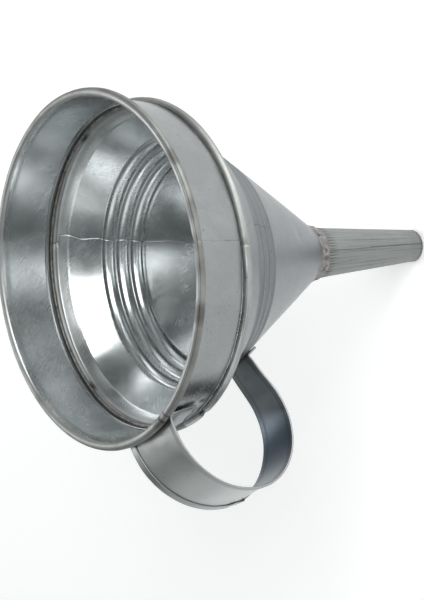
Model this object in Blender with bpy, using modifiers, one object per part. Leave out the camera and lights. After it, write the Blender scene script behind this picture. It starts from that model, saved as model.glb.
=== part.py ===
"""Sheet-metal filling funnel with a wired rim, a swaged cone, a soldered spout and a strap handle.

The funnel axis is Z with the mouth at the top, and the neck, where the cone meets the spout, is at
Z = 0. The strap handle lies in the XZ plane on the +X side. Lengths are metres.
"""
import math

import bmesh
import bpy

MM = 0.001

# Sheet, wire and assembly gap.
SHEET = 0.5 * MM
GAP = 0.3 * MM
WIRE_R = 2.1 * MM
CURL_R = 2.75 * MM
BEAD_R = CURL_R + SHEET / 2

# Mouth collar.
MOUTH_R = 110.0 * MM
MOUTH_BEAD_Z = 173.6 * MM
COLLAR_REAR_R = 101.35 * MM
COLLAR_REAR_Z = 139.4 * MM
HEM_HEIGHT = 4.0 * MM
HEM_FOLD_R = 0.4 * MM
HEM_LEAN = 0.2 * MM

# Cone.
HALF_ANGLE = math.radians(30.0)
NECK_R = 18.3 * MM
CONE_BEAD_R = 101.4 * MM
CONE_BEAD_Z = 135.7 * MM
RIB_STATIONS = (106.6 * MM, 98.4 * MM, 90.2 * MM)
RIB_HALF_LENGTH = 3.6 * MM
RIB_DEPTH = 1.3 * MM
CURL_TO_WALL = 6.0 * MM
LOWER_STATION = 60.0 * MM

# Spout.
SPOUT_SHEET = 0.6 * MM
SPOUT_TOP_R = 17.3 * MM
SPOUT_TIP_R = 11.0 * MM
SPOUT_TIP_Z = -102.0 * MM
SPOUT_TIP_LAND = 1.5 * MM
FLARE_LENGTH = 6.0 * MM
SPOUT_FACETS = 16

# Spout solder.
SOLDER_TOP_Z = 3.0 * MM
SOLDER_BOTTOM_Z = -9.0 * MM
SOLDER_BULGE = 1.6 * MM

# Collar to cone solder.
SEAM_SOLDER_R = 0.9 * MM
SEAM_SOLDER_STAND = 0.2 * MM

# Strap handle: a front arc and a rear arc that meet at the strap's outermost point.
STRAP_FRONT_WIDTH = 50.0 * MM
STRAP_REAR_WIDTH = 23.0 * MM
STRAP_SHEET = 0.6 * MM
STRAP_HEM = 5.0 * MM
STRAP_FOLD_R = 0.5 * MM
STRAP_TOP_Z = 169.0 * MM
STRAP_REACH_X = 154.2 * MM
FRONT_ARC_R = 48.2 * MM
REAR_ARC_R = 44.6 * MM
REAR_ARC_END = math.radians(-113.5)
FRONT_FLANGE = 16.0 * MM
REAR_FLANGE = 8.0 * MM
BEND_R = 2.2 * MM
CONFORM_LENGTH = 14.0 * MM
REAR_RUN_IN = 8.0 * MM
REAR_FLANGE_STAND = 0.2 * MM

# Handle solder.
HANDLE_SOLDER_R = 1.1 * MM
FRONT_SOLDER_STAND = 0.2 * MM
REAR_SOLDER_STAND = 0.1 * MM
FRONT_SOLDER_SPAN = 42.0 * MM
REAR_SOLDER_SPAN = 17.0 * MM

# Facets round the axis.
RING_STEPS = 60
WIRE_SIDES = 12
CURL_STEPS = 12
SOLDER_RING_STEPS = 48
SOLDER_RUN_STEPS = 8

# Lap seams, each one facet wide, counted in facets from the handle.
COLLAR_LAP_FACET = 12
CONE_LAP_FACETS = (13, 38)
LAP_TURN = 2.0 * math.pi / RING_STEPS
LAP_OVERLAP = 0.05 * MM
COLLAR_LAP_TOP_MARGIN = 4.0 * MM
LAP_END_MARGIN = 2.0 * MM
CONE_LAP_LOW_Z = 12.0 * MM


def collection(name):
    """Return a new collection linked to the scene."""
    group = bpy.data.collections.new(name)
    bpy.context.scene.collection.children.link(group)
    return group


def material(name, colour, roughness, metallic):
    """Return a plain Principled material."""
    surface = bpy.data.materials.new(name)
    surface.use_nodes = True
    shader = surface.node_tree.nodes["Principled BSDF"]
    shader.inputs["Base Color"].default_value = (*colour, 1.0)
    shader.inputs["Roughness"].default_value = roughness
    shader.inputs["Metallic"].default_value = metallic
    surface.diffuse_color = (*colour, 1.0)
    return surface


def mesh_object(name, points, edges, faces, group, surface=None):
    """Return an object holding the given mesh."""
    mesh = bpy.data.meshes.new(name)
    mesh.from_pydata(points, edges, faces)
    mesh.update()
    body = bpy.data.objects.new(name, mesh)
    group.objects.link(body)
    if surface is not None:
        mesh.materials.append(surface)
    return body


def add_screw(body, steps, turn=2.0 * math.pi):
    """Turn the profile in XZ about the Z axis."""
    spin = body.modifiers.new("Turn", "SCREW")
    spin.axis = "Z"
    spin.angle = turn
    spin.steps = steps
    spin.render_steps = steps
    spin.screw_offset = 0.0
    spin.use_merge_vertices = True
    spin.merge_threshold = 0.00001
    spin.use_normal_calculate = True
    spin.use_smooth_shade = True
    return spin


def add_solidify(body, thickness):
    """Give the open surface its sheet thickness, half to each side."""
    shell = body.modifiers.new("Sheet", "SOLIDIFY")
    shell.thickness = thickness
    shell.offset = 0.0
    shell.use_even_offset = True
    shell.use_quality_normals = True
    return shell


def turned_sheet(name, profile, thickness, group, surface=None, steps=RING_STEPS):
    """Turn an open centre-line profile of (radius, height) pairs into sheet metal."""
    points = [(radius, 0.0, height) for radius, height in profile]
    edges = [(index, index + 1) for index in range(len(points) - 1)]
    body = mesh_object(name, points, edges, [], group, surface)
    add_screw(body, steps)
    add_solidify(body, thickness)
    return body


def turned_ring(name, outline, group, surface, steps=RING_STEPS):
    """Turn a closed outline of (radius, height) pairs into a solid ring."""
    points = [(radius, 0.0, height) for radius, height in outline]
    count = len(points)
    edges = [(index, (index + 1) % count) for index in range(count)]
    body = mesh_object(name, points, edges, [], group, surface)
    add_screw(body, steps)
    return body


def arc(centre, radius, start, end, steps):
    """Return points of an arc; angles in degrees, anticlockwise from +X in the XZ plane."""
    points = []
    for index in range(steps + 1):
        angle = math.radians(start + (end - start) * index / steps)
        points.append((centre[0] + radius * math.cos(angle), centre[1] + radius * math.sin(angle)))
    return points


def circle_outline(centre, radius, sides):
    """Return a closed outline with a level facet at the top."""
    half = 180.0 / sides
    return arc(centre, radius, 90.0 + half, 90.0 + half - 360.0, sides)[:-1]


def collar_radius(height):
    """Centre-line radius of the tapered collar wall at a height."""
    top = MOUTH_R - 2.0 * BEAD_R + SHEET / 2
    share = (MOUTH_BEAD_Z - height) / (MOUTH_BEAD_Z - COLLAR_REAR_Z)
    return top + (COLLAR_REAR_R - top) * share


def cone_radius(height):
    """Centre-line radius of the plain cone at a height."""
    return NECK_R + height * math.tan(HALF_ANGLE)


def collar_profile():
    """Centre line of the collar, from the open edge of the curl to the open edge of the hem."""
    bead = (MOUTH_R - BEAD_R, MOUTH_BEAD_Z)
    curl = arc(bead, CURL_R, -114.0, 174.0, CURL_STEPS)
    wall = [(collar_radius(MOUTH_BEAD_Z - BEAD_R), MOUTH_BEAD_Z - BEAD_R)]
    fold_centre = (COLLAR_REAR_R - HEM_FOLD_R, COLLAR_REAR_Z + HEM_FOLD_R)
    fold = arc(fold_centre, HEM_FOLD_R, 0.0, -180.0, 4)
    hem_top = (fold[-1][0] + HEM_LEAN, COLLAR_REAR_Z + HEM_HEIGHT)
    return curl + wall + fold + [hem_top]


def rib_offset(height):
    """Inward swage of the cone wall at a height."""
    offset = 0.0
    for station in RIB_STATIONS:
        distance = abs(height - station) / RIB_HALF_LENGTH
        if distance < 1.0:
            offset += RIB_DEPTH * 0.5 * (1.0 + math.cos(math.pi * distance))
    return offset


def cone_profile():
    """Centre line of the cone, from the open edge of its curl down to the neck."""
    bead = (CONE_BEAD_R, CONE_BEAD_Z)
    curl = arc(bead, CURL_R, -102.0, 186.0, CURL_STEPS)
    heights = [CONE_BEAD_Z - CURL_TO_WALL]
    for station in RIB_STATIONS:
        for share in (1.0, 0.55, 0.0, -0.55, -1.0):
            heights.append(station + share * RIB_HALF_LENGTH)
    heights += [LOWER_STATION, 0.5 * LOWER_STATION, 0.0]
    normal = (math.cos(HALF_ANGLE), -math.sin(HALF_ANGLE))
    wall = []
    for height in heights:
        inward = rib_offset(height)
        wall.append((cone_radius(height) - inward * normal[0], height - inward * normal[1]))
    return curl + wall


def spout_profile():
    """Centre line of the spout, from its flared upper edge down to the tip."""
    flare = (SPOUT_TOP_R + FLARE_LENGTH * math.tan(HALF_ANGLE), FLARE_LENGTH)
    land = (SPOUT_TIP_R, SPOUT_TIP_Z + SPOUT_TIP_LAND)
    return [flare, (SPOUT_TOP_R, 0.0), land, (SPOUT_TIP_R, SPOUT_TIP_Z)]


def spout_outer(height):
    """Outer radius of the spout wall below the neck."""
    share = height / (SPOUT_TIP_Z + SPOUT_TIP_LAND)
    return SPOUT_TOP_R + (SPOUT_TIP_R - SPOUT_TOP_R) * share + SPOUT_SHEET / 2


def spout_solder_outline():
    """Section of the solder fillet that covers the cone's lower edge."""
    slope = SHEET / 2 / math.cos(HALF_ANGLE)
    cone_out = cone_radius(SOLDER_TOP_Z) + slope + GAP
    edge_out = cone_radius(0.0) + slope + GAP
    inner = spout_outer(-GAP) + GAP
    return [
        (cone_out + 0.25 * SOLDER_BULGE, SOLDER_TOP_Z),
        (edge_out + 0.5 * SOLDER_BULGE, 0.15 * SOLDER_BOTTOM_Z),
        (spout_outer(0.5 * SOLDER_BOTTOM_Z) + GAP + 0.7 * SOLDER_BULGE, 0.5 * SOLDER_BOTTOM_Z),
        (spout_outer(SOLDER_BOTTOM_Z) + 2 * GAP, SOLDER_BOTTOM_Z),
        (spout_outer(SOLDER_BOTTOM_Z) + GAP, SOLDER_BOTTOM_Z),
        (inner, -GAP - SHEET / 2),
        (edge_out, -GAP - SHEET / 2),
        (cone_out, SOLDER_TOP_Z),
    ]


def unite(body, pad):
    """Join a pad into the body."""
    pad.hide_render = True
    pad.display_type = "WIRE"
    joint = body.modifiers.new("Lap", "BOOLEAN")
    joint.operation = "UNION"
    joint.solver = "EXACT"
    joint.object = pad


def lap_pad(name, low, high, facet, group):
    """Return a strip of sheet that lies against one facet of a turned wall, on the outside."""
    run = (high[0] - low[0], high[1] - low[1])
    length = math.hypot(*run)
    offset = SHEET - LAP_OVERLAP
    normal = (run[1] / length * offset, -run[0] / length * offset)
    ends = [(high[0] + normal[0], high[1] + normal[1]), (low[0] + normal[0], low[1] + normal[1])]
    points = [(radius, 0.0, height) for radius, height in ends]
    pad = mesh_object(name, points, [(0, 1)], [], group)
    add_screw(pad, 1, LAP_TURN)
    add_solidify(pad, SHEET)
    pad.rotation_euler = (0.0, 0.0, facet * LAP_TURN)
    return pad


def make_collar(group, cutters, surface):
    """Rolled collar with a curled mouth edge, a folded rear hem and a lap seam."""
    body = turned_sheet("collar_band", collar_profile(), SHEET, group, surface)
    bottom = COLLAR_REAR_Z + LAP_END_MARGIN
    top = MOUTH_BEAD_Z - COLLAR_LAP_TOP_MARGIN
    low = (collar_radius(bottom), bottom)
    high = (collar_radius(top), top)
    unite(body, lap_pad("collar_lap", low, high, COLLAR_LAP_FACET, cutters))


def make_cone(group, cutters, surface):
    """Rolled cone with a curled upper edge, swaged ribs and two lap seams."""
    body = turned_sheet("cone_body", cone_profile(), SHEET, group, surface)
    top = RIB_STATIONS[-1] - RIB_HALF_LENGTH - LAP_END_MARGIN
    low = (cone_radius(CONE_LAP_LOW_Z), CONE_LAP_LOW_Z)
    high = (cone_radius(top), top)
    for facet in CONE_LAP_FACETS:
        unite(body, lap_pad(f"cone_lap_{facet}", low, high, facet, cutters))


def make_wire(name, radius, height, group, surface):
    """Round wire bent into a ring and held inside a curl."""
    return turned_ring(name, circle_outline((radius, height), WIRE_R, WIRE_SIDES), group, surface)


def make_seam_solder(group, surface):
    """Ring of solder in the corner between the collar's hem and the cone's curl."""
    radius = COLLAR_REAR_R - 2.0 * HEM_FOLD_R - SHEET / 2 - GAP - SEAM_SOLDER_R
    height = CONE_BEAD_Z + BEAD_R + SEAM_SOLDER_STAND + SEAM_SOLDER_R
    outline = circle_outline((radius, height), SEAM_SOLDER_R, 8)
    return turned_ring("collar_seam_solder", outline, group, surface)


def strap_path():
    """Centre line of the strap as (x, z) pairs, from the front flange's end to the rear flange's."""
    hem_stack = STRAP_SHEET / 2 + 2.0 * STRAP_FOLD_R + STRAP_SHEET / 2
    flange_end_z = STRAP_TOP_Z - BEND_R - FRONT_FLANGE
    collar_out = collar_radius(STRAP_TOP_Z) + SHEET / 2
    front_x = collar_out + GAP + hem_stack
    taper = collar_radius(STRAP_TOP_Z) - collar_radius(flange_end_z)
    path = [(front_x - taper, flange_end_z)]
    front_centre = (STRAP_REACH_X - FRONT_ARC_R, STRAP_TOP_Z - FRONT_ARC_R)
    rear_centre = (STRAP_REACH_X - REAR_ARC_R, STRAP_TOP_Z - FRONT_ARC_R)
    inner_r = FRONT_ARC_R - BEND_R
    meet = math.acos((front_x + BEND_R - front_centre[0]) / inner_r)
    bend_centre = (front_x + BEND_R, front_centre[1] + inner_r * math.sin(meet))
    path += arc(bend_centre, BEND_R, 180.0, math.degrees(meet), 4)
    path += arc(front_centre, FRONT_ARC_R, math.degrees(meet), 0.0, 18)[1:]
    path += arc(rear_centre, REAR_ARC_R, 0.0, math.degrees(REAR_ARC_END), 22)[1:]
    heading = REAR_ARC_END - math.pi / 2
    step = (math.cos(heading), math.sin(heading))
    surface_shift = (SHEET / 2 + GAP + STRAP_SHEET / 2 + REAR_FLANGE_STAND) / math.cos(HALF_ANGLE)
    start = path[-1]
    closing = math.tan(HALF_ANGLE) * step[1] - step[0]
    reach = (start[0] - cone_radius(start[1]) - surface_shift) / closing
    corner = (start[0] + reach * step[0], start[1] + reach * step[1])
    down = (-math.sin(HALF_ANGLE), -math.cos(HALF_ANGLE))
    turn = math.acos(step[0] * down[0] + step[1] * down[1])
    trim = BEND_R * math.tan(turn / 2)
    entry = (corner[0] - trim * step[0], corner[1] - trim * step[1])
    centre = (entry[0] - BEND_R * step[1], entry[1] + BEND_R * step[0])
    first = math.degrees(math.atan2(entry[1] - centre[1], entry[0] - centre[0]))
    path += [(entry[0] - REAR_RUN_IN * step[0], entry[1] - REAR_RUN_IN * step[1])]
    path += arc(centre, BEND_R, first, first + math.degrees(turn), 4)
    last = path[-1]
    path += [(last[0] + REAR_FLANGE * down[0], last[1] + REAR_FLANGE * down[1])]
    return path


def strap_section(width):
    """Open section across the strap as (across, outward) pairs with both hems folded outward."""
    half = width / 2 - STRAP_FOLD_R - STRAP_SHEET / 2
    hem_lift = 2.0 * STRAP_FOLD_R
    left = [(-half + STRAP_HEM - STRAP_FOLD_R, hem_lift)]
    left += arc((-half, STRAP_FOLD_R), STRAP_FOLD_R, 90.0, 270.0, 4)
    plate = [(half * share, 0.0) for share in (-0.72, -0.36, 0.0, 0.36, 0.72)]
    right = [(-across, outward) for across, outward in reversed(left)]
    return left + plate + right


def conform(distance):
    """Weight from 1 on a flange to 0 past the blend length."""
    share = min(1.0, max(0.0, 1.0 - distance / CONFORM_LENGTH))
    return share * share * (3.0 - 2.0 * share)


def path_lengths(path):
    """Running length at every point of a path."""
    lengths = [0.0]
    for first, second in zip(path, path[1:]):
        lengths.append(lengths[-1] + math.dist(first, second))
    return lengths


def strap_points():
    """Points of the strap's centre surface, one row per station of the path."""
    path = strap_path()
    lengths = path_lengths(path)
    front_end = FRONT_FLANGE + BEND_R * math.pi / 2
    rear_end = lengths[-1] - REAR_FLANGE - BEND_R * math.pi / 2
    rows = []
    for index, (x, z) in enumerate(path):
        before = path[max(index - 1, 0)]
        after = path[min(index + 1, len(path) - 1)]
        run = (after[0] - before[0], after[1] - before[1])
        size = math.hypot(*run)
        outward = (-run[1] / size, run[0] / size)
        front = conform(max(0.0, lengths[index] - front_end))
        rear = conform(max(0.0, rear_end - lengths[index]))
        share = lengths[index] / lengths[-1]
        width = STRAP_FRONT_WIDTH + (STRAP_REAR_WIDTH - STRAP_FRONT_WIDTH) * share
        row = []
        for across, lift in strap_section(width):
            sag = 0.0
            for weight in (front, rear):
                sag += weight * (x - math.sqrt(x * x - across * across))
            row.append((x + lift * outward[0] - sag, across, z + lift * outward[1]))
        rows.append(row)
    return rows


def make_strap(group, surface):
    """Bent strap handle with hemmed edges and a flange at each end."""
    rows = strap_points()
    width = len(rows[0])
    points = [point for row in rows for point in row]
    faces = []
    for row in range(len(rows) - 1):
        for column in range(width - 1):
            corner = row * width + column
            faces.append((corner, corner + 1, corner + width + 1, corner + width))
    body = mesh_object("handle_strap", points, [], faces, group, surface)
    add_solidify(body, STRAP_SHEET)
    return body


def make_solder_run(name, radius, height, span, group, surface):
    """Short run of solder along the end of a handle flange."""
    data = bpy.data.curves.new(name, "CURVE")
    data.dimensions = "3D"
    data.bevel_depth = HANDLE_SOLDER_R
    data.bevel_resolution = 1
    data.use_fill_caps = True
    spline = data.splines.new("POLY")
    spline.points.add(SOLDER_RUN_STEPS)
    reach = span / 2 / radius
    for index in range(SOLDER_RUN_STEPS + 1):
        angle = reach * (2.0 * index / SOLDER_RUN_STEPS - 1.0)
        point = (radius * math.cos(angle), radius * math.sin(angle), height, 1.0)
        spline.points[index].co = point
    body = bpy.data.objects.new(name, data)
    data.materials.append(surface)
    group.objects.link(body)
    return body


def make_handle_solder(group, surface):
    """Solder runs at the end of the front and rear flanges."""
    path = strap_path()
    front_z = path[0][1] - STRAP_SHEET - GAP - HANDLE_SOLDER_R
    front_r = collar_radius(front_z) + SHEET / 2 + GAP + FRONT_SOLDER_STAND + HANDLE_SOLDER_R
    make_solder_run("handle_front_solder", front_r, front_z, FRONT_SOLDER_SPAN, group, surface)
    stand = SHEET / 2 + GAP + REAR_SOLDER_STAND + HANDLE_SOLDER_R
    run_z = path[-1][1] - (HANDLE_SOLDER_R + 2.0 * GAP + STRAP_SHEET)
    rear_r = cone_radius(run_z) + stand / math.cos(HALF_ANGLE)
    make_solder_run("handle_rear_solder", rear_r, run_z, REAR_SOLDER_SPAN, group, surface)


def smooth(group):
    """Shade the mesh pieces smooth."""
    for body in group.objects:
        if body.type == "MESH":
            body.data.shade_smooth()


def build():
    """Build every sub-part."""
    for body in list(bpy.data.objects):
        bpy.data.objects.remove(body, do_unlink=True)
    parts = collection("filling_funnel")
    cutters = collection("cutters")
    cutters.hide_render = True
    tin = material("tin_sheet", (0.42, 0.44, 0.44), 0.28, 1.0)
    cone_tin = material("cone_sheet", (0.38, 0.41, 0.43), 0.32, 1.0)
    spout_tin = material("spout_sheet", (0.36, 0.39, 0.38), 0.45, 1.0)
    strap_tin = material("strap_sheet", (0.40, 0.42, 0.42), 0.38, 1.0)
    steel = material("rim_wire_steel", (0.30, 0.30, 0.29), 0.45, 1.0)
    solder = material("solder", (0.22, 0.22, 0.21), 0.55, 1.0)
    make_collar(parts, cutters, tin)
    make_wire("rim_wire", MOUTH_R - BEAD_R, MOUTH_BEAD_Z, parts, steel)
    make_cone(parts, cutters, cone_tin)
    make_wire("cone_wire", CONE_BEAD_R, CONE_BEAD_Z, parts, steel)
    make_seam_solder(parts, solder)
    spout = turned_sheet("spout_tube", spout_profile(), SPOUT_SHEET, parts, spout_tin, SPOUT_FACETS)
    spout.modifiers["Turn"].use_smooth_shade = False
    fillet = turned_ring("spout_solder", spout_solder_outline(), parts, solder, SOLDER_RING_STEPS)
    fillet.modifiers["Turn"].use_normal_flip = True
    make_strap(parts, strap_tin)
    make_handle_solder(parts, solder)
    smooth(parts)


build()
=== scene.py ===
"""Studio view of a galvanised filling funnel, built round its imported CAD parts.

Lengths are metres. The funnel's axis is Z with the mouth up, and its strap handle lies on the +X side.
Places round the axis are degrees from the handle, anticlockwise seen from the mouth.
"""

import math

import bpy
from mathutils import Matrix, Vector, noise


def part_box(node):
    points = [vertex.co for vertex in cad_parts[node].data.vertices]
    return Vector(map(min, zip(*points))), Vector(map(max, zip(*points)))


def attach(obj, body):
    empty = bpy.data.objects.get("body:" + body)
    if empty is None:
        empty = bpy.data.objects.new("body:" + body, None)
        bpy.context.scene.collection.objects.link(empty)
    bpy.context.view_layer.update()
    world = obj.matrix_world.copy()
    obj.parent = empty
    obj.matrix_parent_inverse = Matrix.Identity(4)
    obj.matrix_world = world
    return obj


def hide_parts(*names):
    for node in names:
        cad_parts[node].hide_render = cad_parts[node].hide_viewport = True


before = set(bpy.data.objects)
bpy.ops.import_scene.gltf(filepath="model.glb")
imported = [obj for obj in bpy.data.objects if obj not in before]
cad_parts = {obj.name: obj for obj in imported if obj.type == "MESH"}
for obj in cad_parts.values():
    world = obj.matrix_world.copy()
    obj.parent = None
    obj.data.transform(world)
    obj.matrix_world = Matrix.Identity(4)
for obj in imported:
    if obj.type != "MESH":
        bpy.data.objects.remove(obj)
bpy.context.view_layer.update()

MM = 0.001

# Boxes read from the frame.
RIM_LOW, RIM_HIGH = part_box("rim_wire")
REAR_LOW, REAR_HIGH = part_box("cone_wire")
COLLAR_LOW, COLLAR_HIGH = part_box("collar_band")
CONE_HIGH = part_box("cone_body")[1]
SPOUT_LOW, SPOUT_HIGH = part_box("spout_tube")
STRAP_LOW, STRAP_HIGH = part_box("handle_strap")
FILLET_LOW, FILLET_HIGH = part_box("spout_solder")
JOINT_LOW, JOINT_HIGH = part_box("collar_seam_solder")
FRONT_LOW, FRONT_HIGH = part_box("handle_front_solder")
BACK_LOW, BACK_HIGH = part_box("handle_rear_solder")

# Sheet metal.
SHEET = 0.5 * MM
LAP = 0.55 * MM
LAP_TURN = 3.0
LAP_RUN = 2.5
LAP_LIFT_SHARE = 0.12
RIM_Z = (RIM_LOW.z + RIM_HIGH.z) / 2
BEAD_R = COLLAR_HIGH.z - RIM_Z - 0.20 * MM
RIM_R = COLLAR_HIGH.y - BEAD_R - 0.12 * MM
REAR_Z = (REAR_LOW.z + REAR_HIGH.z) / 2
REAR_R = CONE_HIGH.y - BEAD_R - 0.05 * MM
COLLAR_END_Z = COLLAR_LOW.z
COLLAR_TOP_R = RIM_R - BEAD_R + SHEET / 2
COLLAR_END_R = 101.35 * MM
HEM_HEIGHT = 4.0 * MM
HEM_FOLD_R = 0.4 * MM
CURL_STEPS = 44
CURL_START = -140.0
COLLAR_CURL_END = 176.0
CONE_CURL_END = 186.0
CURL_TO_WALL = 6.0 * MM
HALF_ANGLE = math.radians(30.0)
NECK_R = 18.3 * MM
RIB_STATIONS = (106.6 * MM, 98.4 * MM, 90.2 * MM)
RIB_HALF = 3.6 * MM
RIB_DEPTH = 1.4 * MM

# Spout.
SPOUT_SHEET = 0.6 * MM
SPOUT_TOP_R = 17.3 * MM
SPOUT_TIP_R = 11.0 * MM
SPOUT_FACETS = 16
SPOUT_CRIMPS = 52

# Strap handle.
STRAP_SHEET = 0.6 * MM
STRAP_FRONT_WIDTH = STRAP_HIGH.y - STRAP_LOW.y
STRAP_REAR_WIDTH = 23.0 * MM
STRAP_HEM = 5.0 * MM
STRAP_SLIM_HEM = 3.2 * MM
HEM_PRESS = 1.4
FOLD_R = 0.5 * MM
HEM_STACK = STRAP_SHEET + 2.0 * FOLD_R
STRAP_TOP_Z = STRAP_HIGH.z - HEM_STACK + STRAP_SHEET / 2
STRAP_REACH_X = STRAP_HIGH.x - HEM_STACK + STRAP_SHEET / 2
FRONT_ARC_R = 48.2 * MM
REAR_ARC_R = 44.6 * MM
REAR_ARC_END = math.radians(-113.5)
FRONT_FLANGE = 16.0 * MM
REAR_FLANGE = 8.0 * MM
BEND_R = 2.2 * MM
CONFORM_LENGTH = 14.0 * MM
BUCKLE_SHARE = 0.47
# Share of the strap's length where its painted shade is darkest.
STRAP_SHADE_SHARE = 0.68

# Seams, dents and spots, in degrees round the axis.
COLLAR_SEAM = 73.0
CONE_SEAMS = (81.5, 231.5)
BEAD_SEAM_SHIFT = -10.5
SPOUT_SEAM = 72.5
RIM_MARK = 13.0
RIM_GROOVE = 48.0
REAR_GROOVE = 20.0
GROOVE_WIDTH = 7.0
BEAD_NOTCH = 6.5
FLUX_Z = 147.0 * MM
JUNCTION_SPOTS = (187.5, 296.5)
NECK_DENT = (85.0, 40.0 * MM)

# Camera.
AIM = Vector((36.2, 24.3, 112.0)) * MM
CAMERA_DISTANCE = 920.0 * MM
CAMERA_AZIMUTH = math.radians(68.76)
CAMERA_ELEVATION = math.radians(38.1)
CAMERA_ROLL = math.radians(-95.57)
LENS = 90.2

# Soft boxes: name, azimuth and elevation in degrees, power in watts.
LIGHT_TARGET = Vector((0.0, 0.0, 0.1))
LIGHT_DISTANCE = 1.5
LIGHT_SIZE = 0.8
SOFT_BOXES = (
    ("key", 90.0, 40.0, 10.0),
    ("low_fill", 120.0, 10.0, 12.0),
    ("far_fill", 240.0, 50.0, 9.0),
    ("handle_fill", 0.0, 40.0, 2.0),
)

# Floor and surroundings.
FLOOR_SIZE = 12.0
FLOOR_GREY = 0.92
FLOOR_GLOW = 0.22
ROOM_STRENGTH = 0.68

# Colours that the finishes share.
WORN_ZINC = (0.265, 0.267, 0.25, 1.0)
# Dark colour of soiling and of painted shade.
DIRT_AND_SHADE = (0.035, 0.032, 0.03, 1.0)


# Soiling and painted shade, wear and painted shadow of a clean surface.
CLEAN = (0.0, 0.0, 0.0)


# ---------------------------------------------------------------- shape tools

def wobble(place, seed, size):
    """Smooth signed variation between about -1 and 1 with features of the given size."""
    x, y, z = place
    return noise.noise(Vector((x / size + seed * 7.3, y / size - seed * 3.1, z / size + seed * 1.7)))


def smoothstep(low, high, value):
    """Smooth ramp from 0 at low to 1 at high."""
    share = min(1.0, max(0.0, (value - low) / (high - low)))
    return share * share * (3.0 - 2.0 * share)


def bell(distance, width):
    """Smooth hump of height 1 that fades over the width."""
    return math.exp(-(distance / width) ** 2)


def around(degrees, radius, height):
    """Point at an angle round the axis."""
    turn = math.radians(degrees)
    return (radius * math.cos(turn), radius * math.sin(turn), height)


def turn_between(first, second):
    """Signed difference of two directions in degrees, between -180 and 180."""
    return (first - second + 180.0) % 360.0 - 180.0


def arc(centre, radius, start, end, steps):
    """Points of an arc in a plane; angles in degrees."""
    points = []
    for index in range(steps + 1):
        angle = math.radians(start + (end - start) * index / steps)
        points.append((centre[0] + radius * math.cos(angle), centre[1] + radius * math.sin(angle)))
    return points


def line(first, second, steps):
    """Evenly spaced points after the first one, up to and with the second."""
    points = []
    for index in range(1, steps + 1):
        share = index / steps
        points.append((first[0] + (second[0] - first[0]) * share,
                       first[1] + (second[1] - first[1]) * share))
    return points


def normals(profile):
    """Unit normals of an open profile, to the left of its direction."""
    result = []
    for index in range(len(profile)):
        before = profile[max(index - 1, 0)]
        after = profile[min(index + 1, len(profile) - 1)]
        run = (after[0] - before[0], after[1] - before[1])
        size = math.hypot(*run) or 1.0
        result.append((-run[1] / size, run[0] / size))
    return result


def running(points):
    """Running length at every point of a path."""
    lengths = [0.0]
    for first, second in zip(points, points[1:]):
        lengths.append(lengths[-1] + math.dist(first, second))
    return lengths


def grid_object(name, rows, looks, material, nodes, closed=False):
    """Object from rows of points; looks holds soiling and painted shade, wear, and painted shadow for every
    point.
    """
    width = len(rows[0])
    count = len(rows)
    faces = []
    for row in range(count if closed else count - 1):
        following = (row + 1) % count
        for column in range(width - 1):
            faces.append((row * width + column, following * width + column,
                          following * width + column + 1, row * width + column + 1))
    mesh = bpy.data.meshes.new(name)
    mesh.from_pydata([point for row in rows for point in row], [], faces)
    mesh.update()
    mesh.shade_smooth()
    mesh.materials.append(material)
    marks = mesh.color_attributes.new("marks", "FLOAT_COLOR", "POINT")
    flat = [look for row in looks for look in row]
    for entry, look in zip(marks.data, flat):
        entry.color = look + (1.0,)
    across = running(rows[0])
    along = running([row[width // 2] for row in rows])
    layer = mesh.uv_layers.new(name="sheet")
    for loop in mesh.loops:
        row, column = divmod(loop.vertex_index, width)
        layer.data[loop.index].uv = (along[row], across[column])
    body = bpy.data.objects.new(name, mesh)
    bpy.context.scene.collection.objects.link(body)
    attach(body, "root")
    if nodes:
        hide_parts(*nodes)
    return body


def add_sheet(body, thickness, other_side=None):
    """Give an open surface its sheet thickness, with another material on its other side."""
    shell = body.modifiers.new("Sheet", "SOLIDIFY")
    shell.thickness = thickness
    shell.offset = 0.0
    shell.use_even_offset = True
    if other_side is not None:
        body.data.materials.append(other_side)
        shell.material_offset = 1


def rolled(profile, start, end, steps, shape, look, skew):
    """Rows and looks of a profile rolled from start to end degrees.

    The last few degrees of the wall rise a little, by less than the sheet's thickness, and the first few
    of the bead step inward, to mark the lap. The skew moves the profile round the axis by height, which
    makes the cut edges uneven.
    """
    sides = normals(profile)
    rows = []
    looks = []
    for index in range(steps + 1):
        degrees = start + (end - start) * index / steps
        lift = LAP_LIFT_SHARE * LAP * smoothstep(end - LAP_TURN - 2.0 * LAP_RUN, end - LAP_TURN, degrees)
        sink = LAP * (1.0 - smoothstep(start + LAP_TURN, start + LAP_TURN + LAP_RUN, degrees))
        row = []
        tints = []
        for station, ((radius, height), side) in enumerate(zip(profile, sides)):
            actual = degrees + skew(height, degrees)
            extra = (sink if station <= CURL_STEPS else lift) + shape(actual, radius, height, station)
            row.append(around(actual, radius + side[0] * extra, height + side[1] * extra))
            edge = min(degrees - start, end - degrees)
            tints.append(look(actual, radius, height, station, edge))
        rows.append(row)
        looks.append(tints)
    return rows, looks


# ---------------------------------------------------------------- materials

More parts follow.
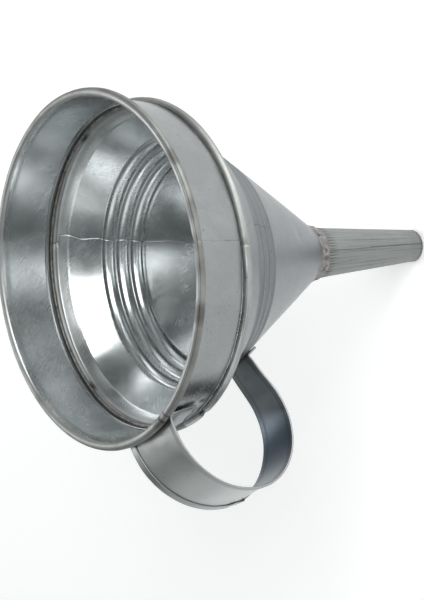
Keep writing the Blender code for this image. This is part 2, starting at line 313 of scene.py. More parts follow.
class Finish:
    """One node material, with short calls for the nodes that the finishes share."""

    def __init__(self, name):
        self.material = bpy.data.materials.new(name)
        self.material.use_nodes = True
        self.tree = self.material.node_tree
        self.shader = self.tree.nodes["Principled BSDF"]
        self.shader.inputs["Metallic"].default_value = 1.0

    def node(self, kind, **values):
        """New node with its properties set."""
        made = self.tree.nodes.new(kind)
        for key, value in values.items():
            setattr(made, key, value)
        return made

    def feed(self, socket, value):
        """Give a socket a number, a colour or another node's output."""
        if isinstance(value, bpy.types.NodeSocket):
            self.tree.links.new(value, socket)
        else:
            socket.default_value = value

    def place(self, scale, turn=0.0, sheet=False):
        """Coordinates in metres times a scale, on the sheet or in space."""
        source = self.node("ShaderNodeUVMap", uv_map="sheet") if sheet else self.node("ShaderNodeTexCoord")
        output = source.outputs["UV" if sheet else "Object"]
        mapping = self.node("ShaderNodeMapping")
        self.feed(mapping.inputs["Vector"], output)
        mapping.inputs["Rotation"].default_value = (0.0, 0.0, turn)
        mapping.inputs["Scale"].default_value = scale
        if turn:
            mapping.vector_type = "TEXTURE"
            mapping.inputs["Scale"].default_value = [1.0 / side for side in scale]
        return mapping.outputs["Vector"]

    def grain(self, scale, detail=2.0, turn=0.0, sheet=False, distortion=0.0):
        """Noise between 0 and 1 with the given number of features per metre."""
        made = self.node("ShaderNodeTexNoise")
        self.feed(made.inputs["Vector"], self.place(scale, turn, sheet))
        made.inputs["Scale"].default_value = 1.0
        made.inputs["Detail"].default_value = detail
        made.inputs["Distortion"].default_value = distortion
        return made.outputs["Fac"]

    def ramp(self, value, low, high, bottom, top):
        """Linear map from low..high to bottom..top, held at the ends."""
        made = self.node("ShaderNodeMapRange")
        for name, number in (("From Min", low), ("From Max", high), ("To Min", bottom), ("To Max", top)):
            made.inputs[name].default_value = number
        self.feed(made.inputs["Value"], value)
        return made.outputs["Result"]

    def sum(self, *values):
        """Sum of sockets and numbers."""
        total = values[0]
        for value in values[1:]:
            total = self.maths("ADD", total, value)
        return total

    def maths(self, operation, first, second):
        """One arithmetic step."""
        made = self.node("ShaderNodeMath", operation=operation)
        self.feed(made.inputs[0], first)
        self.feed(made.inputs[1], second)
        return made.outputs[0]

    def blend(self, share, first, second):
        """Mix of two colours."""
        made = self.node("ShaderNodeMix", data_type="RGBA")
        self.feed(made.inputs[0], share)
        self.feed(made.inputs[6], first)
        self.feed(made.inputs[7], second)
        return made.outputs[2]

    def marks(self):
        """Soiling and painted shade, wear, and painted shadow stored on the mesh."""
        made = self.node("ShaderNodeAttribute", attribute_name="marks")
        split = self.node("ShaderNodeSeparateColor")
        self.feed(split.inputs[0], made.outputs["Color"])
        return split.outputs[0], split.outputs[1], split.outputs[2]

    def bump(self, height, distance, strength=1.0, under=None):
        """Bump from a height between 0 and 1."""
        made = self.node("ShaderNodeBump")
        made.inputs["Distance"].default_value = distance
        made.inputs["Strength"].default_value = strength
        self.feed(made.inputs["Height"], height)
        if under is not None:
            self.feed(made.inputs["Normal"], under)
        return made.outputs["Normal"]

    def finish(self, colour, roughness, normal):
        """Connect the results to the shader."""
        self.feed(self.shader.inputs["Base Color"], colour)
        self.feed(self.shader.inputs["Roughness"], roughness)
        self.feed(self.shader.inputs["Normal"], normal)
        return self.material


def shade(colour, amount):
    """A colour made darker or lighter, with alpha."""
    return tuple(channel * amount for channel in colour) + (1.0,)


def zinc(name, colour, roughness, brush_turn, brush=0.5, shade_tint=None):
    """Zinc-coated sheet: faint spangle, brushed grain, cloudy patches, worn beads, soiling in the seams and
    painted shade, with an optional tint for painted shadow.
    """
    made = Finish(name)
    dirt_and_shade, wear, painted_shade = made.marks()
    cloud = made.grain((26.0, 26.0, 26.0), 4.0, distortion=0.6)
    smear = made.grain((90.0, 90.0, 90.0), 3.0)
    brushed = made.grain((2600.0, 90.0, 1.0), 3.0, turn=brush_turn, sheet=True)
    rolling = made.grain((30.0, 900.0, 1.0), 2.0, sheet=True)
    spangle = made.node("ShaderNodeTexVoronoi", feature="F1")
    made.feed(spangle.inputs["Vector"], made.place((160.0, 160.0, 160.0)))
    spangle.inputs["Scale"].default_value = 1.0
    crystal = made.node("ShaderNodeSeparateColor")
    made.feed(crystal.inputs[0], spangle.outputs["Color"])
    speck = made.ramp(made.grain((520.0, 520.0, 520.0), 2.0), 0.70, 0.78, 0.0, 0.55)
    tone = made.blend(made.ramp(cloud, 0.35, 0.65, 0.0, 1.0), shade(colour, 0.86), shade(colour, 1.05))
    tone = made.blend(made.ramp(crystal.outputs[0], 0.0, 1.0, 0.0, 0.10), tone, shade(colour, 0.8))
    tone = made.blend(made.ramp(brushed, 0.35, 0.65, 0.0, 0.12), tone, shade(colour, 0.7))
    # Painted shadow: the third mark mixes in a dark tint.
    if shade_tint is not None:
        tone = made.blend(painted_shade, tone, shade(shade_tint, 1.0))
    worn = made.ramp(smear, 0.3, 0.7, 0.75, 1.0)
    tone = made.blend(made.maths("MULTIPLY", wear, worn), tone, WORN_ZINC)
    # Soiling and painted shade darken the colour together.
    dirt_and_shade_amount = made.maths("MULTIPLY", dirt_and_shade, made.ramp(smear, 0.25, 0.6, 0.6, 1.0))
    tone = made.blend(made.maths("MAXIMUM", dirt_and_shade_amount, speck), tone, DIRT_AND_SHADE)
    rough = made.sum(made.ramp(cloud, 0.3, 0.7, roughness - 0.05, roughness + 0.07),
                     made.ramp(brushed, 0.3, 0.7, -0.03, 0.05),
                     made.ramp(crystal.outputs[1], 0.0, 1.0, -0.015, 0.015),
                     made.maths("MULTIPLY", dirt_and_shade, 0.3),
                     made.maths("MULTIPLY", wear, 0.36))
    lines = made.bump(brushed, 0.003 * MM, brush)
    rolls = made.bump(rolling, 0.004 * MM, brush, lines)
    return made.finish(tone, rough, rolls)


def solder(name):
    """Dull soft solder with flux stains and a grainy skin."""
    made = Finish(name)
    lumps = made.grain((420.0, 420.0, 420.0), 3.0)
    stain = made.grain((150.0, 150.0, 150.0), 4.0, distortion=1.0)
    lump = made.ramp(lumps, 0.35, 0.65, 0.0, 1.0)
    tone = made.blend(lump, (0.22, 0.21, 0.20, 1.0), (0.36, 0.35, 0.34, 1.0))
    tone = made.blend(made.ramp(stain, 0.5, 0.68, 0.0, 0.8), tone, (0.075, 0.070, 0.066, 1.0))
    rough = made.ramp(stain, 0.3, 0.7, 0.42, 0.68)
    skin = made.bump(lumps, 0.35 * MM)
    return made.finish(tone, rough, made.bump(stain, 0.2 * MM, 0.7, skin))


def wire_steel(name):
    """Drawn steel wire with dull rings along its length."""
    made = Finish(name)
    drawn = made.grain((60.0, 60.0, 2400.0), 2.0)
    patina = made.grain((120.0, 120.0, 120.0), 3.0)
    dulled = made.ramp(patina, 0.35, 0.65, 0.0, 1.0)
    tone = made.blend(dulled, (0.20, 0.19, 0.18, 1.0), (0.38, 0.38, 0.37, 1.0))
    rough = made.ramp(drawn, 0.3, 0.7, 0.34, 0.5)
    return made.finish(tone, rough, made.bump(drawn, 0.03 * MM))


# ---------------------------------------------------------------- collar

def collar_radius(height):
    """Centre-line radius of the collar wall at a height."""
    share = (RIM_Z - height) / (RIM_Z - COLLAR_END_Z)
    return COLLAR_TOP_R + (COLLAR_END_R - COLLAR_TOP_R) * share


def curl_degrees(station, end):
    """Direction of a curl's point from the middle of its bead."""
    return CURL_START + (end - CURL_START) * station / CURL_STEPS


def curl(centre, end, groove_at):
    """Curled bead with a shallow line that the curling tool leaves."""
    points = []
    for index in range(CURL_STEPS + 1):
        degrees = curl_degrees(index, end)
        radius = BEAD_R - SHEET / 2 - 0.22 * MM * bell(degrees - groove_at, GROOVE_WIDTH)
        turn = math.radians(degrees)
        points.append((centre[0] + radius * math.cos(turn), centre[1] + radius * math.sin(turn)))
    return points


def collar_profile():
    """Collar centre line from the curl's cut edge to the rear hem's cut edge."""
    bead = curl((RIM_R, RIM_Z), COLLAR_CURL_END, RIM_GROOVE)
    wall_end = (COLLAR_END_R, COLLAR_END_Z + 0.6 * MM)
    wall = line(bead[-1], (collar_radius(RIM_Z - 2 * BEAD_R), RIM_Z - 2 * BEAD_R), 4)
    wall += line(wall[-1], wall_end, 20)
    fold_centre = (COLLAR_END_R - HEM_FOLD_R, COLLAR_END_Z + 0.65 * MM)
    fold = arc(fold_centre, HEM_FOLD_R, 0.0, -180.0, 6)[1:]
    hem = line(fold[-1], (fold[-1][0] + 0.25 * MM, COLLAR_END_Z + HEM_HEIGHT), 4)
    return bead + wall + fold + hem


def make_collar(inside, outside):
    """Collar with its curled rim, hem and lap seam."""
    def shape(degrees, radius, height, station):
        place = around(degrees, radius, height)
        swell = 0.22 * MM * wobble(place, 1.0, 36.0 * MM) + 0.004 * MM * wobble(place, 1.5, 10.0 * MM)
        if station <= CURL_STEPS:
            mark = turn_between(degrees, RIM_MARK) * math.radians(RIM_R)
            swell += 0.35 * MM * bell(mark, 1.8 * MM)
            swell += 0.05 * MM * wobble(place, 1.8, 6.0 * MM)
        return swell

    def look(degrees, radius, height, station, edge):
        place = around(degrees, radius, height)
        # Painted shade: the curl is darkened, and shows less wear, on the side that faces the camera.
        near_side_shade = smoothstep(0.0, 0.5, math.cos(math.radians(degrees - COLLAR_SEAM)))
        on_curl = curl_degrees(station, COLLAR_CURL_END)
        inner = smoothstep(RIM_GROOVE - 4.0, RIM_GROOVE + 4.0, on_curl)
        wear = (1.0 - smoothstep(CURL_STEPS - 8, CURL_STEPS + 1, station)) * (1.0 - 0.5 * near_side_shade * inner)
        dirt_and_shade = near_side_shade * (0.10 + 0.18 * inner) * (station <= CURL_STEPS)
        dirt_and_shade += 0.35 * bell(station - CURL_STEPS - 2, 1.2)
        dirt_and_shade += 0.55 * (1.0 - smoothstep(COLLAR_END_Z, COLLAR_END_Z + 5.0 * MM, height)) * \
            smoothstep(-0.2, 0.5, wobble(place, 4.0, 22.0 * MM))
        dirt_and_shade += 0.12 * bell(edge, 0.5) * smoothstep(-0.5, 0.4, wobble(place, 4.5, 8.0 * MM))
        at_flange = bell(turn_between(degrees, 6.0), 12.0) * bell(height - FLUX_Z, 5.0 * MM)
        dirt_and_shade += 1.3 * at_flange * smoothstep(-0.1, 0.3, wobble(place, 17.0, 5.0 * MM))
        if station <= CURL_STEPS:
            dirt_and_shade += 0.45 * bell(on_curl - RIM_GROOVE, GROOVE_WIDTH)
            mark = abs(turn_between(degrees, RIM_MARK) * math.radians(RIM_R))
            dirt_and_shade += 0.8 * bell(mark - 2.6 * MM, 0.8 * MM)
            dirt_and_shade += 0.3 * smoothstep(0.15, 0.5, wobble(place, 9.0, 16.0 * MM))
        return min(1.0, dirt_and_shade), wear, 0.0

    def skew(height, degrees):
        return 0.5 * wobble((height, 0.0, 0.0), 6.0, 9.0 * MM)

    start = COLLAR_SEAM - LAP_TURN
    rows, looks = rolled(collar_profile(), start, COLLAR_SEAM + 360.0, 484, shape, look, skew)
    body = grid_object("collar_sheet", rows, looks, inside, ["collar_band"])
    add_sheet(body, SHEET, outside)


# ---------------------------------------------------------------- cone

def cone_radius(height):
    """Centre-line radius of the plain cone at a height."""
    return NECK_R + height * math.tan(HALF_ANGLE)


def rib_offset(height):
    """Inward swage of the cone wall at a height."""
    offset = 0.0
    for station in RIB_STATIONS:
        distance = abs(height - station) / RIB_HALF
        if distance < 1.0:
            offset -= RIB_DEPTH * (1.0 - distance ** 2.6)
    return offset


def cone_profile():
    """Cone centre line from its curl's cut edge to the neck."""
    bead = curl((REAR_R, REAR_Z), CONE_CURL_END, REAR_GROOVE)
    top_z = REAR_Z - CURL_TO_WALL
    wall = line(bead[-1], (cone_radius(top_z), top_z), 6)
    low_rib = RIB_STATIONS[-1] - RIB_HALF
    heights = [top_z + (low_rib - top_z) * index / 90 for index in range(1, 91)]
    heights += [low_rib * (1.0 - index / 40) for index in range(1, 41)]
    for height in heights:
        inward = rib_offset(height)
        wall.append((cone_radius(height) + inward * math.cos(HALF_ANGLE),
                     height - inward * math.sin(HALF_ANGLE)))
    return bead + wall


def past_bead_seam(degrees):
    """Degrees past the cone seam's place on the bead, towards the handle, fading out beyond it."""
    past = turn_between(CONE_SEAMS[0] + BEAD_SEAM_SHIFT, degrees)
    return past if past < 75.0 else 0.0


def make_cone(inside, outside):
    """Two rolled halves of the cone."""
    profile = cone_profile()
    spans = ((CONE_SEAMS[0] - LAP_TURN, CONE_SEAMS[1] + LAP_TURN), (CONE_SEAMS[1], CONE_SEAMS[0] + 360.0))
    for index, (start, end) in enumerate(spans):
        def shape(degrees, radius, height, station):
            place = around(degrees, radius, height)
            swell = 0.24 * MM * wobble(place, 2.0, 34.0 * MM)
            swell += 0.01 * MM * wobble(place, 3.0 + index, 20.0 * MM)
            if station <= CURL_STEPS:
                notch = turn_between(degrees, BEAD_NOTCH) * math.radians(radius)
                swell += 1.1 * MM * bell(notch, 2.4 * MM)
            side = turn_between(degrees, NECK_DENT[0]) * math.radians(radius)
            swell -= 0.5 * MM * bell(math.hypot(side, height - NECK_DENT[1]), 5.0 * MM)
            return swell

        def look(degrees, radius, height, station, edge):
            place = around(degrees, radius, height)
            wear = 0.85 * (1.0 - smoothstep(CURL_STEPS - 2, CURL_STEPS + 2, station))
            dirt_and_shade = 0.4 * bell(station - CURL_STEPS - 2, 1.5)
            at_back = bell(turn_between(degrees, CONE_SEAMS[1]), 20.0)
            dirt_and_shade += (0.1 + 0.7 * at_back) * bell(edge, 0.4) * (station > CURL_STEPS)
            # Painted shadow: a dark band over the bead's outer side and top, past the bead's seam towards the
            # handle.
            shadowed = smoothstep(1.0, 8.0, past_bead_seam(degrees))
            shadowed *= smoothstep(0.38 * CURL_STEPS, 0.50 * CURL_STEPS, station)
            if station <= CURL_STEPS:
                notch = turn_between(degrees, BEAD_NOTCH) * math.radians(radius)
                dirt_and_shade += bell(notch, 2.4 * MM)
            for spot in JUNCTION_SPOTS:
                side = turn_between(degrees, spot) * math.radians(radius)
                dirt_and_shade += 0.9 * bell(math.hypot(side * 0.5, height - REAR_Z - 2.0 * MM), 2.2 * MM)
            for valley in RIB_STATIONS:
                for side in (-RIB_HALF, RIB_HALF):
                    dirt_and_shade += 0.22 * bell(height - valley - side, 0.7 * MM)
            dirt_and_shade += 0.5 * (1.0 - smoothstep(4.0 * MM, 12.0 * MM, height)) * \
                smoothstep(-0.3, 0.4, wobble(place, 5.0, 9.0 * MM))
            # The painted shadow is blotchy and hides the bead's wear.
            dark = shadowed * (0.9 + 0.3 * wobble(place, 5.5, 4.0 * MM)) if station <= CURL_STEPS else 0.0
            return min(1.0, dirt_and_shade), wear * (1.0 - 0.8 * dark), dark

        def skew(height, degrees):
            at_bead = smoothstep(RIB_STATIONS[0] + 8.0 * MM, REAR_Z, height)
            at_bead *= bell(turn_between(degrees, CONE_SEAMS[0]), 40.0)
            at_back = bell(turn_between(degrees, CONE_SEAMS[1]), 50.0)
            wave = (0.5 + 2.0 * at_back) * wobble((height, 0.0, 0.0), 7.0, 14.0 * MM)
            return wave + BEAD_SEAM_SHIFT * at_bead

        rows, looks = rolled(profile, start, end, round((end - start) * 1.3), shape, look, skew)
        name = f"cone_half_{index + 1}"
        body = grid_object(name, rows, looks, inside, ["cone_body"])
        add_sheet(body, SHEET, outside)


# ---------------------------------------------------------------- spout

def spout_radius(height):
    """Centre-line radius of the spout below its flare."""
    return SPOUT_TOP_R + (SPOUT_TIP_R - SPOUT_TOP_R) * height / SPOUT_LOW.z


def make_spout(material):
    """Tapered spout with soft lengthwise facets and crimps under the solder."""
    profile = [(SPOUT_TOP_R + SPOUT_HIGH.z * math.tan(HALF_ANGLE), SPOUT_HIGH.z - 0.5 * MM)]
    profile += line(profile[0], (SPOUT_TOP_R, 0.0), 4)
    profile += line((SPOUT_TOP_R, 0.0), (SPOUT_TIP_R, SPOUT_LOW.z + 0.1 * MM), 90)

    def shape(degrees, radius, height, station):
        step = 360.0 / SPOUT_FACETS
        local = (degrees % step) - step / 2
        flat = math.cos(math.radians(step / 2)) / math.cos(math.radians(local)) - 1.0
        crimped = smoothstep(2.0 * MM, -4.0 * MM, height) if height > -4.0 * MM else 1.0
        crimped *= 1.0 - smoothstep(9.0 * MM, 19.0 * MM, -height)
        crimp = 0.22 * MM * crimped * math.cos(math.radians(degrees * SPOUT_CRIMPS))
        place = around(degrees, radius, height)
        fold = bell(local / step - 0.5, 0.06) + bell(local / step + 0.5, 0.06)
        return -radius * (flat + 0.01) + crimp + 0.05 * MM * fold + 0.03 * MM * wobble(place, 11.0, 18.0 * MM)

    def look(degrees, radius, height, station, edge):
        place = around(degrees, radius, height)
        dirt_and_shade = 0.65 * bell(edge, 1.2)
        valley = 0.5 - 0.5 * math.cos(math.radians(degrees * SPOUT_CRIMPS))
        dirt_and_shade += 0.55 * valley * (1.0 - smoothstep(9.0 * MM, 16.0 * MM, -height))
        dirt_and_shade += 0.30 * smoothstep(0.0, 0.5, wobble((degrees * MM, 0.0, height * 0.04), 12.0, 2.6 * MM))
        dirt_and_shade += 0.5 * (1.0 - smoothstep(0.0, 3.0 * MM, height - SPOUT_LOW.z))
        return min(1.0, dirt_and_shade), 0.35, 0.0

    def skew(height, degrees):
        return 0.8 * wobble((height, 0.0, 0.0), 8.0, 14.0 * MM)

    rows, looks = rolled(profile, SPOUT_SEAM - LAP_TURN, SPOUT_SEAM + 360.0, 832, shape, look, skew)
    body = grid_object("spout_sheet", rows, looks, material, ["spout_tube"])
    add_sheet(body, SPOUT_SHEET)


def make_spout_solder(material):
    """Uneven ring of solder that fills the corner between the cone and the spout."""
    steps = 300
    rows = []
    looks = []
    for index in range(steps):
        degrees = 360.0 * index / steps
        place = around(degrees, NECK_R, 0.0)
        high = FILLET_HIGH.z + 1.2 * MM * wobble(place, 13.0, 7.0 * MM) - 0.6 * MM
        low = FILLET_LOW.z + 1.6 * MM * wobble(place, 14.0, 4.0 * MM) + 1.6 * MM
        row = []
        for share in (step / 14 for step in range(15)):
            height = high + (low - high) * share
            skin = cone_radius(height) if height > 0 else spout_radius(height)
            waves = 1.0 + 0.45 * wobble(around(degrees, skin, height), 15.0, 3.2 * MM)
            bulge = 1.5 * MM * math.sin(math.pi * share) ** 0.7 * waves
            row.append(around(degrees, skin + 0.25 * MM + bulge, height))
        inside = around(degrees, spout_radius(low) - 0.2 * MM, (low + high) / 2)
        rows.append(row + [inside, row[0]])
        looks.append([CLEAN] * (len(row) + 2))
    grid_object("spout_solder_ring", rows, looks, material, ["spout_solder"], closed=True)


def make_joint_solder(material):
    """Thin uneven line of solder between the collar's hem and the cone's bead."""
    steps = 420
    middle_r = (JOINT_HIGH.x - JOINT_LOW.x) / 2 - (JOINT_HIGH.z - JOINT_LOW.z) / 2
    middle_z = (JOINT_HIGH.z + JOINT_LOW.z) / 2
    rows = []
    for index in range(steps):
        degrees = 360.0 * index / steps
        place = around(degrees, middle_r, middle_z)
        radius = (JOINT_HIGH.z - JOINT_LOW.z) / 2 * (0.9 + 0.35 * wobble(place, 16.0, 4.0 * MM))
        ring = arc((middle_r, middle_z), radius, 0.0, 360.0, 10)
        rows.append([around(degrees, radial, height) for radial, height in ring])
    looks = [[CLEAN] * 11 for _ in rows]
    grid_object("collar_joint_solder", rows, looks, material, ["collar_seam_solder"], closed=True)


# ---------------------------------------------------------------- strap handle

def strap_path():
    """Centre line of the strap as (x, z) pairs, from the front flange's end to the rear flange's."""
    collar_out = collar_radius(STRAP_TOP_Z) + SHEET / 2
    front_x = collar_out + 0.3 * MM + HEM_STACK
    flange_end_z = STRAP_TOP_Z - BEND_R - FRONT_FLANGE
    taper = collar_radius(STRAP_TOP_Z) - collar_radius(flange_end_z)
    path = [(front_x - taper, flange_end_z)]
    front_centre = (STRAP_REACH_X - FRONT_ARC_R, STRAP_TOP_Z - FRONT_ARC_R)
    rear_centre = (STRAP_REACH_X - REAR_ARC_R, STRAP_TOP_Z - FRONT_ARC_R)
    inner_r = FRONT_ARC_R - BEND_R
    meet = math.acos((front_x + BEND_R - front_centre[0]) / inner_r)
    bend_centre = (front_x + BEND_R, front_centre[1] + inner_r * math.sin(meet))
    path += line(path[0], (bend_centre[0] - BEND_R, bend_centre[1]), 16)
    path += arc(bend_centre, BEND_R, 180.0, math.degrees(meet), 8)[1:]
    path += arc(front_centre, FRONT_ARC_R, math.degrees(meet), 0.0, 70)[1:]
    path += arc(rear_centre, REAR_ARC_R, 0.0, math.degrees(REAR_ARC_END), 84)[1:]
    heading = REAR_ARC_END - math.pi / 2
    step = (math.cos(heading), math.sin(heading))
    stand = (SHEET / 2 + 0.5 * MM + STRAP_SHEET / 2) / math.cos(HALF_ANGLE)
    start = path[-1]
    closing = math.tan(HALF_ANGLE) * step[1] - step[0]
    reach = (start[0] - cone_radius(start[1]) - stand) / closing
    down = (-math.sin(HALF_ANGLE), -math.cos(HALF_ANGLE))
    turn = math.acos(step[0] * down[0] + step[1] * down[1])
    reach -= BEND_R * math.tan(turn / 2)
    entry = (start[0] + reach * step[0], start[1] + reach * step[1])
    centre = (entry[0] - BEND_R * step[1], entry[1] + BEND_R * step[0])
    first = math.degrees(math.atan2(entry[1] - centre[1], entry[0] - centre[0]))
    path += line(start, entry, 14)
    path += arc(centre, BEND_R, first, first + math.degrees(turn), 8)[1:]
    last = path[-1]
    path += line(last, (last[0] + REAR_FLANGE * down[0], last[1] + REAR_FLANGE * down[1]), 8)
    return path


def strap_section(width):
    """Open section across the strap as (across, outward) pairs with both hems folded outward."""
    half = width / 2 - FOLD_R - STRAP_SHEET / 2
    hems = []
    for reach in (STRAP_HEM, STRAP_SLIM_HEM):
        edge = (-half + reach - FOLD_R, HEM_PRESS * FOLD_R)
        hem = [edge] + line(edge, (-half, 2.0 * FOLD_R), 6)
        hems.append(hem + arc((-half, FOLD_R), FOLD_R, 90.0, 270.0, 8)[1:])
    plate = line(hems[0][-1], (half, 0.0), 30)[:-1]
    return hems[0] + plate + [(-across, outward) for across, outward in reversed(hems[1])]


def buckle(share, across, lift, half):
    """Bunched hem where the strap was bent too sharply, as shifts across and outward."""
    free_edge = smoothstep(-half, -half + STRAP_HEM, across) if lift > FOLD_R and across < 0.0 else 0.0
    past = share - BUCKLE_SHARE
    pucker = bell(past, 0.028) * (1.0 + 0.4 * math.sin(past * 200.0))
    crease = bell(past + (across + half - 9.0 * MM) * 3.0, 0.010) * bell(across + half - 8.0 * MM, 4.0 * MM)
    wave = math.sin(past * 130.0) * bell(past, 0.035) * smoothstep(0.4, 1.0, -across / half)
    return 3.0 * MM * free_edge * pucker, MM * (0.55 * free_edge * pucker + 0.3 * wave + 0.5 * crease)


def make_strap(inside, outside):
    """Bent strap handle with hemmed edges and a flange at each end."""
    path = strap_path()
    lengths = running(path)
    sides = normals(path)
    front_end = FRONT_FLANGE + BEND_R * math.pi / 2
    rear_end = lengths[-1] - REAR_FLANGE - BEND_R * math.pi / 2
    rows = []
    looks = []
    for (x, z), length, outward in zip(path, lengths, sides):
        front = 1.0 - smoothstep(front_end, front_end + CONFORM_LENGTH, length)
        rear = smoothstep(rear_end - CONFORM_LENGTH, rear_end, length)
        share = length / lengths[-1]
        width = STRAP_FRONT_WIDTH + (STRAP_REAR_WIDTH - STRAP_FRONT_WIDTH) * share
        row = []
        tints = []
        for across, lift in strap_section(width):
            place = (x, across, z)
            sag = (front + rear) * (x - math.sqrt(x * x - across * across))
            free = (1.0 - front) * (1.0 - rear)
            shift, pucker = buckle(share, across, lift, width / 2)
            raised = lift + pucker + 0.10 * MM * wobble(place, 21.0, 16.0 * MM) * free
            ragged = 1.2 * MM * wobble((across, 0.0, 0.0), 26.0, 6.0 * MM) * (length < 1.0 * MM)
            raised += 0.25 * MM * front * wobble(place, 27.0, 6.0 * MM)
            out_x = min(x + raised * outward[0] - sag, STRAP_HIGH.x - 0.52 * STRAP_SHEET)
            row.append((out_x, across + shift, z + raised * outward[1] + ragged))
            rim = abs(abs(across) - width / 2 + (STRAP_HEM if across < 0.0 else STRAP_SLIM_HEM))
            under_hem = 1.0 if lift < FOLD_R else 0.5
            dirt_and_shade = 0.35 * bell(rim, 0.8 * MM) * under_hem
            dirt_and_shade += 0.5 * front * smoothstep(-0.1, 0.5, wobble(place, 22.0, 10.0 * MM))
            dirt_and_shade += 0.4 * rear * smoothstep(-0.2, 0.4, wobble(place, 23.0, 6.0 * MM))
            # Painted shade: the plate between the hems is darkened along the strap, most at one share of its
            # length.
            plate = 1.0 if lift < 0.3 * FOLD_R else 0.0
            dark = plate * (0.45 + 0.55 * bell(share - STRAP_SHADE_SHARE, 0.13))
            tints.append((min(1.0, dirt_and_shade), 0.5 * bell(abs(across) - width / 2, 1.2 * MM), dark))
        rows.append(row)
        looks.append(tints)
    body = grid_object("strap_sheet", rows, looks, inside, ["handle_strap"])
    add_sheet(body, STRAP_SHEET, outside)


def make_run(name, low, high, lean, material, node):
    """Lumpy run of solder along the end of a flange, flattened against the sheet."""
    height = (low.z + high.z) / 2
    radius = (high.z - low.z) / 2
    reach = math.degrees(math.asin(high.y / high.x))
    steps = 90
    rows = []
    for index in range(steps + 1):
        share = index / steps
        degrees = reach * (2.0 * share - 1.0)
        place = around(degrees, high.x - radius, height)
        thick = math.sqrt(max(0.0, 1.0 - (2.0 * share - 1.0) ** 6)) * 0.92
        thick *= 0.8 + 0.5 * wobble(place, 24.0, 3.5 * MM)
        ring = []
        for step in range(13):
            turn = 2.0 * math.pi * step / 12
            out = radius * thick * math.cos(turn) * 0.8
            along = radius * thick * math.sin(turn) * 1.25
            wave = 0.3 * MM * wobble(place, 25.0, 5.0 * MM)
            radial = high.x - radius - lean * radius + out + along * lean
            ring.append(around(degrees, radial, height + along + wave))
        rows.append(ring)
    looks = [[CLEAN] * 13 for _ in rows]
    grid_object(name, rows, looks, material, [node])


# ---------------------------------------------------------------- studio

def make_camera():
    """Camera at the photograph's viewing angle."""
    data = bpy.data.cameras.new("camera")
    data.lens = LENS
    data.sensor_width = 36.0
    camera = bpy.data.objects.new("camera", data)
    bpy.context.scene.collection.objects.link(camera)
    back = Vector((math.cos(CAMERA_AZIMUTH) * math.cos(CAMERA_ELEVATION),
                   math.sin(CAMERA_AZIMUTH) * math.cos(CAMERA_ELEVATION),
                   math.sin(CAMERA_ELEVATION)))
    camera.location = AIM + back * CAMERA_DISTANCE
    look = (-back).to_track_quat("-Z", "Y").to_matrix()
    turn = Matrix.Rotation(CAMERA_ROLL, 3, "Z")
    camera.rotation_mode = "QUATERNION"
    camera.rotation_quaternion = (look @ turn).to_quaternion()
    bpy.context.scene.camera = camera


def soft_box(name, azimuth, elevation, power):
    """Square soft box aimed at the funnel from an azimuth and elevation in degrees."""
    data = bpy.data.lights.new(name, "AREA")
    data.size = LIGHT_SIZE
    data.energy = power
    light = bpy.data.objects.new(name, data)
    bpy.context.scene.collection.objects.link(light)
    rise = math.radians(elevation)
    flat = LIGHT_DISTANCE * math.cos(rise)
    light.location = LIGHT_TARGET + Vector(around(azimuth, flat, LIGHT_DISTANCE * math.sin(rise)))
    light.rotation_mode = "QUATERNION"
    light.rotation_quaternion = (LIGHT_TARGET - light.location).to_track_quat("-Z", "Y")


def make_stage():
    """Pale floor and soft studio light."""
    bpy.ops.mesh.primitive_plane_add(size=FLOOR_SIZE, location=(0.0, 0.0, SPOUT_LOW.z - 1.0 * MM))
    floor = bpy.context.object
    floor.name = "floor"
    surface = bpy.data.materials.new("floor")
    surface.use_nodes = True
    shader = surface.node_tree.nodes["Principled BSDF"]
    shader.inputs["Base Color"].default_value = (FLOOR_GREY, FLOOR_GREY, FLOOR_GREY, 1.0)
    shader.inputs["Roughness"].default_value = 0.9
    shader.inputs["Emission Color"].default_value = (1.0, 1.0, 1.0, 1.0)
    shader.inputs["Emission Strength"].default_value = FLOOR_GLOW
    floor.data.materials.append(surface)
    bpy.context.scene.world = make_room()
    for name, azimuth, elevation, power in SOFT_BOXES:
        soft_box(name, azimuth, elevation, power)


def soft_ramp(tree, value, low, high):
    """Smooth map of a socket from low..high to 0..1."""
    made = tree.nodes.new("ShaderNodeMapRange")
    made.interpolation_type = "SMOOTHSTEP"
    made.inputs["From Min"].default_value = low
    made.inputs["From Max"].default_value = high
    tree.links.new(value, made.inputs["Value"])
    return made.outputs["Result"]


def sky_mix(tree, share, first, second):
    """Mix of two colours, each a colour or another node's output."""
    made = tree.nodes.new("ShaderNodeMix")
    made.data_type = "RGBA"
    tree.links.new(share, made.inputs[0])
    for socket, value in ((made.inputs[6], first), (made.inputs[7], second)):
        if isinstance(value, bpy.types.NodeSocket):
            tree.links.new(value, socket)
        else:
            socket.default_value = value
    return made.outputs[2]


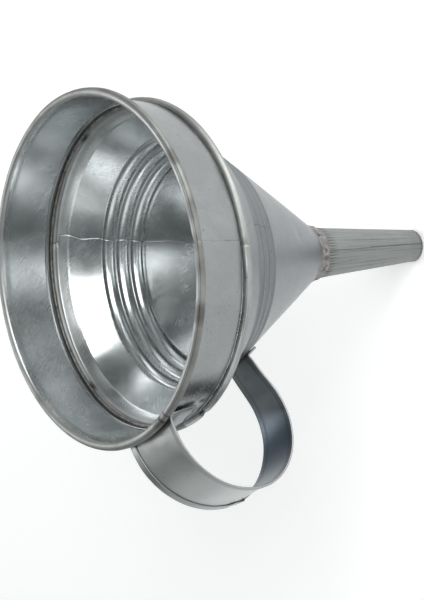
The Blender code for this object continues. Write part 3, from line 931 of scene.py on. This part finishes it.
def make_room():
    """Soft surroundings: plain at the horizon, pale and grey patches above, and grey overhead."""
    room = bpy.data.worlds.new("studio")
    room.use_nodes = True
    tree = room.node_tree
    direction = tree.nodes.new("ShaderNodeTexCoord").outputs["Generated"]
    patches = tree.nodes.new("ShaderNodeTexNoise")
    patches.inputs["Scale"].default_value = 2.4
    patches.inputs["Detail"].default_value = 1.0
    tree.links.new(direction, patches.inputs["Vector"])
    split = tree.nodes.new("ShaderNodeSeparateXYZ")
    tree.links.new(direction, split.inputs[0])
    height = split.outputs["Z"]
    patch = soft_ramp(tree, patches.outputs["Fac"], 0.40, 0.60)
    sky = sky_mix(tree, patch, (0.13, 0.155, 0.165, 1.0), (0.72, 0.735, 0.72, 1.0))
    ceiling = sky_mix(tree, soft_ramp(tree, height, 0.80, 0.96), sky, (0.16, 0.18, 0.19, 1.0))
    whole = sky_mix(tree, soft_ramp(tree, height, 0.10, 0.35), (0.95, 0.97, 0.97, 1.0), ceiling)
    tree.links.new(whole, tree.nodes["Background"].inputs["Color"])
    tree.nodes["Background"].inputs["Strength"].default_value = ROOM_STRENGTH
    return room


def main():
    """Build the visual model, its stage and its camera."""
    bpy.context.scene.view_settings.view_transform = "Standard"
    make_camera()
    bright = zinc("zinc_bright", (0.62, 0.645, 0.65), 0.21, math.radians(45.0))
    weathered = zinc("zinc_weathered", (0.33, 0.343, 0.343), 0.28, math.radians(45.0))
    # Painted shade: a darker copy of the weathered zinc for the cone's outside, with a dark tint for the
    # bead's painted shadow.
    cone_outer_shadowed = zinc("zinc_cone_outer_shadowed", (0.235, 0.248, 0.258), 0.30, math.radians(45.0), shade_tint=(0.05, 0.055, 0.075))
    dull = zinc("zinc_dull", (0.322, 0.342, 0.34), 0.38, math.radians(90.0), brush=0.8)
    satin = zinc("zinc_satin", (0.58, 0.60, 0.597), 0.35, math.radians(0.0), brush=0.4)
    # Painted shade: a darker copy of the satin zinc with a dark blue tint, for the strap sheet's other side.
    shaded = zinc("zinc_strap_shaded", (0.50, 0.52, 0.52), 0.34, math.radians(0.0), brush=0.4,
                  shade_tint=(0.075, 0.10, 0.13))
    joint = solder("soft_solder")
    steel = wire_steel("drawn_wire")
    make_collar(bright, weathered)
    make_cone(bright, cone_outer_shadowed)
    make_spout(dull)
    make_spout_solder(joint)
    make_joint_solder(joint)
    make_strap(satin, shaded)
    make_run("front_flange_solder", FRONT_LOW, FRONT_HIGH, 0.1, joint, "handle_front_solder")
    make_run("rear_flange_solder", BACK_LOW, BACK_HIGH, math.tan(HALF_ANGLE), joint, "handle_rear_solder")
    for name in ("rim_wire", "cone_wire"):
        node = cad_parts[name]
        node.data.materials.clear()
        node.data.materials.append(steel)
    make_stage()


main()
